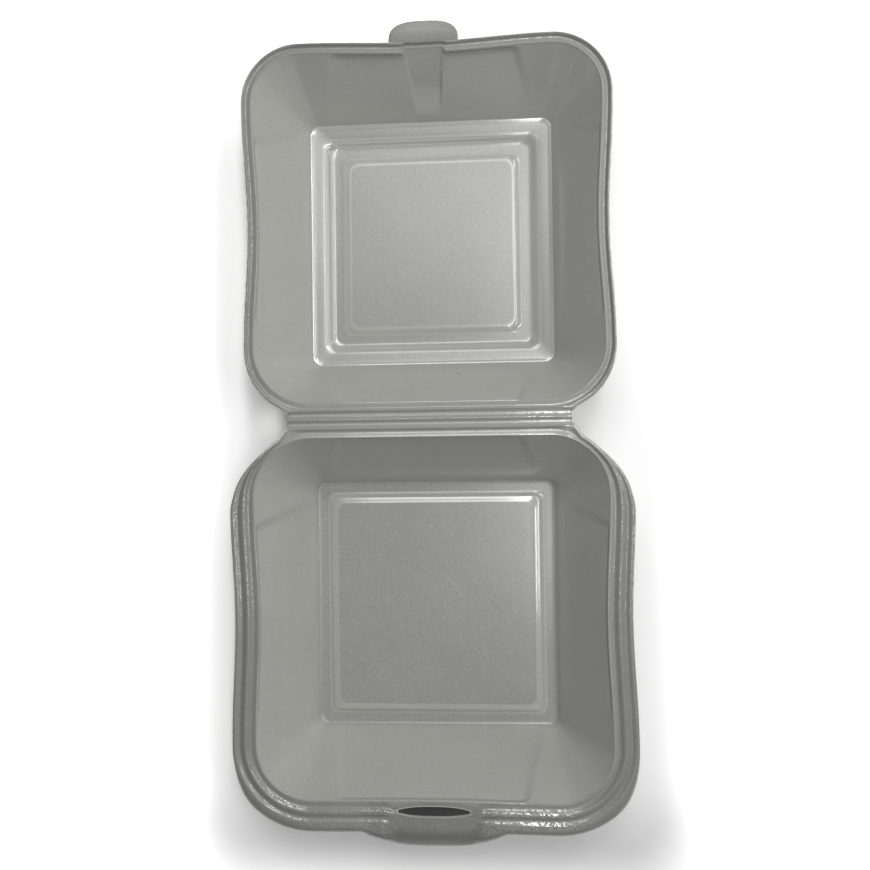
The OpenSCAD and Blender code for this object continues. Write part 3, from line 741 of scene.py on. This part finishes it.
def vector_math(tree, operation, *values):
    """The outputs of a Vector Math node."""
    return add_node(tree, "ShaderNodeVectorMath", dict(enumerate(values)), operation=operation).outputs


def ease(tree, value, start, end, low=0.0, high=1.0):
    """A value that goes smoothly from low at start to high at end."""
    inputs = {"Value": value, "From Min": start, "From Max": end, "To Min": low, "To Max": high}
    return add_node(tree, "ShaderNodeMapRange", inputs, interpolation_type="SMOOTHSTEP").outputs["Result"]


def blend_colours(tree, factor, a, b):
    """A colour between a and b."""
    inputs = {"Factor": factor, 6: a, 7: b}
    return add_node(tree, "ShaderNodeMix", inputs, data_type="RGBA").outputs[2]


def new_group(name, kind, inputs, outputs):
    """An empty node group with named sockets, and its input and output node."""
    tree = bpy.data.node_groups.new(name, kind)
    for label, socket_type, value in inputs:
        socket = tree.interface.new_socket(label, in_out="INPUT", socket_type=socket_type)
        if value is not None:
            socket.default_value = value
    for label, socket_type in outputs:
        tree.interface.new_socket(label, in_out="OUTPUT", socket_type=socket_type)
    return tree, tree.nodes.new("NodeGroupInput").outputs, tree.nodes.new("NodeGroupOutput").inputs


# Hinge strip

STRIP_STEPS, STRIP_SIDES = 90, 64
STRIP_PRESSED, STRIP_TAUT = 0.5, 1.0


def strip_path(tree, given):
    """The line that the strip runs along."""
    half_length = work_out(tree, "MULTIPLY", given["Length"], 0.5)
    start = add_node(tree, "ShaderNodeCombineXYZ", {"X": half_length})
    end = add_node(tree, "ShaderNodeCombineXYZ", {"X": work_out(tree, "MULTIPLY", half_length, -1.0)})
    line = add_node(tree, "GeometryNodeCurvePrimitiveLine", {
        "Start": start.outputs[0], "End": end.outputs[0]})
    path = add_node(tree, "GeometryNodeResampleCurve", {"Curve": line.outputs[0], "Count": STRIP_STEPS})
    return path.outputs[0]


def strip_profile(tree, given):
    """The strip's section: a rounded ridge over a shallow belly, with a thin web at each side."""
    circle = add_node(tree, "GeometryNodeCurvePrimitiveCircle", {"Resolution": STRIP_SIDES, "Radius": 1.0})
    position = add_node(tree, "GeometryNodeInputPosition")
    around = add_node(tree, "ShaderNodeSeparateXYZ", {0: position.outputs[0]})
    across = work_out(tree, "MULTIPLY", around.outputs["X"], given["Fold Distance"])
    rise = ease(tree, work_out(tree, "ABSOLUTE", across), 0.0, given["Ridge Half Width"], 1.0, 0.0)
    half_web = work_out(tree, "MULTIPLY", given["Web"], 0.5)
    upper = work_out(tree, "MULTIPLY_ADD", rise, given["Crown"], half_web)
    lower = work_out(tree, "MULTIPLY_ADD", rise, given["Belly"], half_web)
    below = work_out(tree, "GREATER_THAN", around.outputs["Y"], 0.0)
    height = work_out(tree, "SUBTRACT", work_out(tree, "MULTIPLY", lower, below),
                      work_out(tree, "MULTIPLY", upper, work_out(tree, "SUBTRACT", 1.0, below)))
    spot = add_node(tree, "ShaderNodeCombineXYZ", {"X": across, "Y": height})
    profile = add_node(tree, "GeometryNodeSetPosition", {
        "Geometry": circle.outputs[0], "Position": spot.outputs[0]})
    return profile.outputs[0]


def hinge_strip_tree():
    """The pressed strip between the two folds, swept along its length."""
    size = "NodeSocketFloat"
    tree, given, result = new_group("pressed hinge strip", "GeometryNodeTree", [
        ("Length", size, 0.1), ("Fold Distance", size, 0.002), ("Ridge Half Width", size, 0.0015),
        ("Crown", size, 0.001), ("Belly", size, 0.0005), ("Web", size, 0.0004),
        ("Place", "NodeSocketVector", None), ("Foam", "NodeSocketMaterial", None)],
        [("Strip", "NodeSocketGeometry")])
    swept = add_node(tree, "GeometryNodeCurveToMesh", {
        "Curve": strip_path(tree, given), "Profile Curve": strip_profile(tree, given), "Fill Caps": True})
    placed = add_node(tree, "GeometryNodeTransform", {
        "Geometry": swept.outputs[0], "Translation": given["Place"]})
    strip = add_node(tree, "GeometryNodeSetShadeSmooth", {"Geometry": placed.outputs[0]})
    for label, share in (("pressed", STRIP_PRESSED), ("taut", STRIP_TAUT)):
        strip = add_node(tree, "GeometryNodeStoreNamedAttribute", {
            "Geometry": strip.outputs[0], "Name": label, "Value": share}, data_type="FLOAT", domain="POINT")
    real = add_node(tree, "GeometryNodeRealizeInstances", {"Geometry": strip.outputs[0]})
    dressed = add_node(tree, "GeometryNodeSetMaterial", {
        "Geometry": real.outputs[0], "Material": given["Foam"]})
    tree.links.new(dressed.outputs[0], result["Strip"])
    return tree


def grow(name, tree, values):
    """Runs a geometry tree with the given inputs and keeps the result as a plain mesh."""
    obj = add_object(name, bpy.data.meshes.new(name))
    modifier = obj.modifiers.new(name, "NODES")
    modifier.node_group = tree
    for item in tree.interface.items_tree:
        if item.in_out == "INPUT" and item.name in values:
            modifier[item.identifier] = values[item.name]
    grown = obj.evaluated_get(bpy.context.evaluated_depsgraph_get())
    mesh = bpy.data.meshes.new_from_object(grown)
    obj.modifiers.remove(modifier)
    obj.data = mesh
    mesh.name = name
    return obj


# Foam. Its lengths are in metres.

FOAM_GREY = (0.40, 0.40, 0.376)
FLOOR_TINTS, WALL_TINTS, PRESSED_TINTS = (0.70, 0.94), (0.92, 1.18), (0.42, 0.62)
CUT_TINT, WALL_TAUT = 1.6, 0.35
CELL_SIZE, CELL_SMOOTHNESS, WAVE_SCALE, WAVE_HEIGHT, WAVE_DETAIL = 0.00055, 0.6, 0.3, 0.5, 2.0
PATCH_SIZE, PATCH_DETAIL, PATCH_ROUGHNESS = 0.02, 3.0, 0.6
SPECKLE, DULL_SPECKLE, DRIFT = 0.12, 0.4, 0.5
ROUGHNESS, TAUT_ROUGHNESS = 0.27, 0.12
COAT_ROUGHNESS, COAT_IOR = 0.12, 2.0
GLINT_PRESS, GLINT_SHADE = (0.1, 0.6), (0.4, 0.75)
RELIEF, PRESSED_RELIEF, RELIEF_HEIGHT = 0.03, 0.9, 0.0003

# Marks of use. Each speck is its place and its tint.
SCRATCH_MIDDLE, SCRATCH_RADIUS = (0.0005, -0.0719, 0.004), 0.0106
SCRATCH_EDGE, SCRATCH_STARTS, SCRATCH_FADE = (0.0001, 0.0003), (("X", 0.004), ("Y", 0.0009)), 0.001
SCRATCH_SHARE, SCRATCH_TINT = 0.3, 1.5
SPECKS = [((0.0112, 0.026, 0.014), 0.3), ((-0.015, 0.021, 0.02), 0.3),
          ((-0.0791, -0.0625, 0.0365), 0.3), ((0.0799, -0.1121, 0.034), 2.0)]
SPECK_EDGE, SPECK_SHARE = (0.0003, 0.0008), 0.8


def foam_grain_group():
    """The closed cells of the foam under its skin: their bumps, and each cell's own shade."""
    size = "NodeSocketFloat"
    tree, given, result = new_group("foam grain", "ShaderNodeTree", [
        ("Vector", "NodeSocketVector", None), ("Cell Size", size, CELL_SIZE)],
        [("Height", size), ("Shade", size)])
    scale = work_out(tree, "DIVIDE", 1.0, given["Cell Size"])
    cells = add_node(tree, "ShaderNodeTexVoronoi", {
        "Vector": given["Vector"], "Scale": scale, "Smoothness": CELL_SMOOTHNESS}, feature="SMOOTH_F1")
    wave_scale = work_out(tree, "MULTIPLY", scale, WAVE_SCALE)
    waves = add_node(tree, "ShaderNodeTexNoise", {
        "Vector": given["Vector"], "Scale": wave_scale, "Detail": WAVE_DETAIL})
    bumps = work_out(tree, "SUBTRACT", 1.0, cells.outputs["Distance"])
    bumps = work_out(tree, "MULTIPLY_ADD", waves.outputs["Fac"], WAVE_HEIGHT, bumps)
    tree.links.new(bumps, result["Height"])
    shade = add_node(tree, "ShaderNodeTexVoronoi", {"Vector": given["Vector"], "Scale": scale})
    own = add_node(tree, "ShaderNodeSeparateColor", {0: shade.outputs["Color"]})
    tree.links.new(own.outputs[0], result["Shade"])
    return tree


def foam_mottle_group():
    """Slow changes of shade over the sheet, as its skin was stretched in forming."""
    size = "NodeSocketFloat"
    tree, given, result = new_group("foam mottle", "ShaderNodeTree", [
        ("Vector", "NodeSocketVector", None), ("Patch Size", size, PATCH_SIZE)], [("Shade", size)])
    scale = work_out(tree, "DIVIDE", 1.0, given["Patch Size"])
    patches = add_node(tree, "ShaderNodeTexNoise", {
        "Vector": given["Vector"], "Scale": scale, "Detail": PATCH_DETAIL, "Roughness": PATCH_ROUGHNESS})
    tree.links.new(patches.outputs["Fac"], result["Shade"])
    return tree


def skin_shade(tree, taut, grain, mottle):
    """The shade of the skin: a fine speckle, stronger where the skin is dull, and a slow drift."""
    dull = work_out(tree, "SUBTRACT", 1.0, taut)
    speckle = work_out(tree, "SUBTRACT", grain["Shade"], 0.5)
    strength = work_out(tree, "MULTIPLY_ADD", dull, DULL_SPECKLE, SPECKLE)
    speckle = work_out(tree, "MULTIPLY", speckle, strength)
    drift = work_out(tree, "SUBTRACT", mottle["Shade"], 0.5)
    return work_out(tree, "MULTIPLY_ADD", drift, DRIFT, work_out(tree, "ADD", speckle, 0.5))


def skin_colour(tree, shade, pressed, cut, taut):
    """The colour of the skin on floors and walls, where it is pressed, and where it is cut."""
    floor_colour, wall_colour, dense = [
        blend_colours(tree, shade, tint(FOAM_GREY, dark), tint(FOAM_GREY, pale))
        for dark, pale in (FLOOR_TINTS, WALL_TINTS, PRESSED_TINTS)]
    on_wall = ease(tree, taut, 0.0, WALL_TAUT)
    colour = blend_colours(tree, on_wall, floor_colour, wall_colour)
    colour = blend_colours(tree, pressed, colour, dense)
    return blend_colours(tree, cut, colour, tint(FOAM_GREY, CUT_TINT))


def skin_gloss(tree, pressed, cut, taut, grain):
    """How much of a glossy coat the skin has: none on cuts, and only glints where it is pressed."""
    whole = work_out(tree, "SUBTRACT", 1.0, cut)
    dull_cells = ease(tree, grain["Shade"], *GLINT_SHADE, 1.0, 0.0)
    dull_cells = work_out(tree, "MULTIPLY", ease(tree, pressed, *GLINT_PRESS), dull_cells)
    glints = work_out(tree, "MULTIPLY", whole, work_out(tree, "SUBTRACT", 1.0, dull_cells))
    return work_out(tree, "MULTIPLY", taut, glints)


def foam_material(name):
    """Grey foam with a pearly skin. It is smooth and glossy where it is drawn taut over walls and edges,
    and dull and speckled on the floors. Pressed foam is darker, and cut edges are paler and rough."""
    mat = bpy.data.materials.new(name)
    mat.use_nodes = True
    tree = mat.node_tree
    bsdf = tree.nodes["Principled BSDF"].inputs
    bsdf["Coat Roughness"].default_value = COAT_ROUGHNESS
    bsdf["Coat IOR"].default_value = COAT_IOR
    place = add_node(tree, "ShaderNodeTexCoord").outputs["Object"]
    grain, mottle = [add_node(tree, "ShaderNodeGroup", node_tree=group) for group in (GRAIN, MOTTLE)]
    for pattern in (grain, mottle):
        tree.links.new(place, pattern.inputs["Vector"])
    pressed, cut, taut = [add_node(tree, "ShaderNodeAttribute", attribute_name=share).outputs["Fac"]
                          for share in ("pressed", "cut_edge", "taut")]
    shade = skin_shade(tree, taut, grain.outputs, mottle.outputs)
    colour = skin_colour(tree, shade, pressed, cut, taut)
    tree.links.new(marked(tree, place, colour), bsdf["Base Color"])
    tree.links.new(work_out(tree, "MULTIPLY_ADD", taut, TAUT_ROUGHNESS, ROUGHNESS), bsdf["Roughness"])
    tree.links.new(skin_gloss(tree, pressed, cut, taut, grain.outputs), bsdf["Coat Weight"])
    strength = work_out(tree, "MULTIPLY", pressed, taut)
    strength = work_out(tree, "MULTIPLY_ADD", strength, PRESSED_RELIEF, RELIEF)
    relief = add_node(tree, "ShaderNodeBump", {
        "Height": grain.outputs["Height"], "Strength": strength, "Distance": RELIEF_HEIGHT})
    tree.links.new(relief.outputs[0], bsdf["Normal"])
    return mat


def marked(tree, place, colour):
    """The colour with the marks of use: a pale curved scratch, a pale nick, and a few dark specks."""
    from_middle = vector_math(tree, "SUBTRACT", place, SCRATCH_MIDDLE)[0]
    on_arc = work_out(tree, "SUBTRACT", vector_math(tree, "LENGTH", from_middle)["Value"], SCRATCH_RADIUS)
    scratch = ease(tree, work_out(tree, "ABSOLUTE", on_arc), *SCRATCH_EDGE, 1.0, 0.0)
    corner = add_node(tree, "ShaderNodeSeparateXYZ", {0: from_middle}).outputs
    for axis, start in SCRATCH_STARTS:
        scratch = work_out(tree, "MULTIPLY", scratch, ease(tree, corner[axis], start, start + SCRATCH_FADE))
    scratch = work_out(tree, "MULTIPLY", scratch, SCRATCH_SHARE)
    colour = blend_colours(tree, scratch, colour, tint(FOAM_GREY, SCRATCH_TINT))
    for spot, share in SPECKS:
        away = vector_math(tree, "DISTANCE", place, spot)["Value"]
        near = ease(tree, away, *SPECK_EDGE, SPECK_SHARE, 0.0)
        colour = blend_colours(tree, near, colour, tint(FOAM_GREY, share))
    return colour


def tint(colour, share):
    """A colour made darker or paler."""
    return tuple(share * c for c in colour) + (1.0,)


GRAIN, MOTTLE = foam_grain_group(), foam_mottle_group()
foam_skin = foam_material("foam skin")

# The three pieces of the sheet
TURNED = np.array([-1.0, -1.0, 1.0])
STRAIGHT = np.array([1.0, 1.0, 1.0])
base_centre = np.array([0.0, HINGE_Y - BASE_BACK - BASE_L / 2, 0.0])
lid_centre = np.array([0.0, HINGE_Y + LID_BACK + LID_L / 2, 0.0])
base = tray("base_tray", base_rows(), RIDGE_TO_VALLEY, BASE_RIM_ROWS, (TURNED, base_centre), foam_skin)
lid = tray("lid_tray", lid_rows(), None, LID_RIM_ROWS, (STRAIGHT, lid_centre), foam_skin)
strip = grow("hinge_strip_ridge", hinge_strip_tree(), {
    "Length": HINGE_L * MM, "Fold Distance": FOLD_HALF * MM,
    "Ridge Half Width": (FOLD_HALF - FOLD_GAP / 2) * MM, "Crown": STRIP_CROWN * MM,
    "Belly": (STRIP_BELLY - FOLD_WEB / 2) * MM, "Web": FOLD_WEB * MM,
    "Place": (0.0, HINGE_Y * MM, (RIM_HEIGHT - FOLD_DEPTH) * MM), "Foam": foam_skin})
for piece, node, body in ((base, "base", "base"), (lid, "lid", "lid"),
                          (strip, "hinge_strip", "hinge_strip")):
    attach(piece, body)
    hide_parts(node)


# Camera and studio. The camera's place and sensor are in millimetres, other lengths in metres.

FOCAL_PX, IMAGE_PX, SENSOR_W = 824.4, 870.0, 36.0
CAMERA = np.array([24.92, HINGE_Y - 10.348, 363.149])
PITCH, YAW, ROLL = -0.0114, -0.0683, 0.0148
NEAREST_SEEN = 0.01
FLOOR_HALF, FLOOR_LEVEL = 3.0, -0.0004
FLOOR_WHITE, FLOOR_BOUNCE = 1.5, (0.2, 0.2, 0.2, 1.0)
ROOM_COLOUR, ROOM_GLOW = (1.0, 1.0, 0.985, 1.0), 0.06

# Light and shade painted into the floor's colour. Each change is (from, to, shade at from, shade at to).
FOOTPRINT = (0.08, 0.165, 0.0)
# Painted shadow: a dark patch on the floor under the slot, seen through it
UNDER_SLOT, SLOT_SQUEEZE = (-0.0028, -0.1653, 0.0), (0.13, 1.0, 0.0)
LEFT_WAIST = (-0.065, 0.008, 0.0)
# Painted shadow close round the box, and painted light further away from it
PAINTED_HALO_SHADE = (0.012, 0.048, 0.87, 2.0)
# Painted light on the left and painted shade on the right, evening out the lamps' shadows
PAINTED_LIGHT_ACROSS = (-0.1, 0.1, 1.14, 0.82)
# Painted shadow towards the front
PAINTED_FRONT_SHADE = (-0.2, -0.14, 0.62, 1.0)
# Painted shadow under the slot
PAINTED_SLOT_SHADOW = (0.0026, 0.0042, 0.2, 1.0)
# Painted light beside the left waist, over the lamps' shadow there
PAINTED_WAIST_LIGHT = (0.0, 0.018, 2.2, 1.0)

# Each lamp's name, place, (width, length) and energy
LAMPS = [
    ("back softbox", (0.0, 0.34, 0.6), (0.3, 0.3), 1.32),
    ("overhead tube", (0.09, 0.06, 0.58), (0.06, 0.5), 1.1),
    ("right tube", (0.42, 0.19, 0.68), (0.05, 0.9), 2.0),
    ("window", (0.6, 0.22, 0.24), (0.3, 0.4), 0.75),
    ("front fill", (0.0, -0.6, 0.45), (0.4, 0.4), 0.42),
]


def camera_turn():
    """The camera's turn away from looking straight down."""
    turn = Matrix.Rotation(ROLL, 3, "Z") @ Matrix.Rotation(YAW, 3, "Y") @ Matrix.Rotation(PITCH, 3, "X")
    return turn.transposed().to_4x4()


def photo_camera():
    """The camera that was fitted to the photo."""
    data = bpy.data.cameras.new("camera")
    data.sensor_width = SENSOR_W
    data.lens = data.sensor_width * FOCAL_PX / IMAGE_PX
    data.clip_start = NEAREST_SEEN
    camera = add_object("camera", data)
    camera.matrix_world = Matrix.Translation(CAMERA * MM) @ camera_turn()
    bpy.context.scene.camera = camera


def painted_floor_shading(tree):
    """How pale the floor looks, with light and shade painted into its colour: painted light that evens it
    out across the floor, away from the box and beside its waist, and painted shadow close round the box,
    towards the front and under the slot."""
    place = add_node(tree, "ShaderNodeTexCoord").outputs["Object"]
    spot = add_node(tree, "ShaderNodeSeparateXYZ", {0: place}).outputs
    beyond = vector_math(tree, "SUBTRACT", vector_math(tree, "ABSOLUTE", place)[0], FOOTPRINT)[0]
    beyond = vector_math(tree, "MAXIMUM", beyond, (0.0, 0.0, 0.0))[0]
    from_slot = vector_math(tree, "SUBTRACT", place, UNDER_SLOT)[0]
    from_slot = vector_math(tree, "MULTIPLY", from_slot, SLOT_SQUEEZE)[0]
    beyond, from_slot = [vector_math(tree, "LENGTH", away)["Value"] for away in (beyond, from_slot)]
    from_waist = vector_math(tree, "DISTANCE", place, LEFT_WAIST)["Value"]
    shade = ease(tree, beyond, *PAINTED_HALO_SHADE)
    for value, change in ((spot["X"], PAINTED_LIGHT_ACROSS), (spot["Y"], PAINTED_FRONT_SHADE),
                          (from_slot, PAINTED_SLOT_SHADOW), (from_waist, PAINTED_WAIST_LIGHT)):
        shade = work_out(tree, "MULTIPLY", shade, ease(tree, value, *change))
    return shade


def studio_floor():
    """A pale floor that is white to the camera, apart from the box's shadow, which the lamps cast and which
    is also painted into the floor's colour.
    """
    mesh = bpy.data.meshes.new("studio floor")
    corners = [(x * FLOOR_HALF, y * FLOOR_HALF, FLOOR_LEVEL)
               for x, y in ((-1, -1), (1, -1), (1, 1), (-1, 1))]
    mesh.from_pydata(corners, [], [(0, 1, 2, 3)])
    floor = add_object("studio_floor", mesh)
    mat = bpy.data.materials.new("studio floor")
    mat.use_nodes = True
    tree = mat.node_tree
    tree.nodes.clear()
    # The floor's colour carries the painted light and shadow
    white = work_out(tree, "MULTIPLY", painted_floor_shading(tree), FLOOR_WHITE)
    seen = add_node(tree, "ShaderNodeBsdfDiffuse", {"Color": white})
    lit = add_node(tree, "ShaderNodeBsdfDiffuse", {"Color": FLOOR_BOUNCE})
    path = add_node(tree, "ShaderNodeLightPath").outputs
    mirrored = work_out(tree, "MAXIMUM", path["Is Glossy Ray"], path["Is Transmission Ray"])
    looked_at = work_out(tree, "MAXIMUM", path["Is Camera Ray"], mirrored)
    either = add_node(tree, "ShaderNodeMixShader", {0: looked_at, 1: lit.outputs[0], 2: seen.outputs[0]})
    add_node(tree, "ShaderNodeOutputMaterial", {"Surface": either.outputs[0]})
    mesh.materials.append(mat)


def studio_world():
    """A weak light from all round."""
    world = bpy.data.worlds.new("studio")
    world.use_nodes = True
    background = world.node_tree.nodes["Background"]
    background.inputs["Color"].default_value = ROOM_COLOUR
    background.inputs["Strength"].default_value = ROOM_GLOW
    bpy.context.scene.world = world


def soft_lamp(name, place, size, energy):
    """A lamp that shines on the box. Its size is (width, length), and its length runs along the box."""
    data = bpy.data.lights.new(name, "AREA")
    data.shape = "RECTANGLE"
    data.size, data.size_y = size
    data.energy = energy
    back = Vector(place).normalized()
    length = (Vector((0.0, 1.0, 0.0)) - back * back.y).normalized()
    turn = Matrix((length.cross(back), length, back)).transposed().to_4x4()
    add_object(name, data).matrix_world = Matrix.Translation(place) @ turn


photo_camera()
studio_floor()
studio_world()
for lamp in LAMPS:
    soft_lamp(*lamp)
bpy.context.scene.view_settings.view_transform = "Standard"
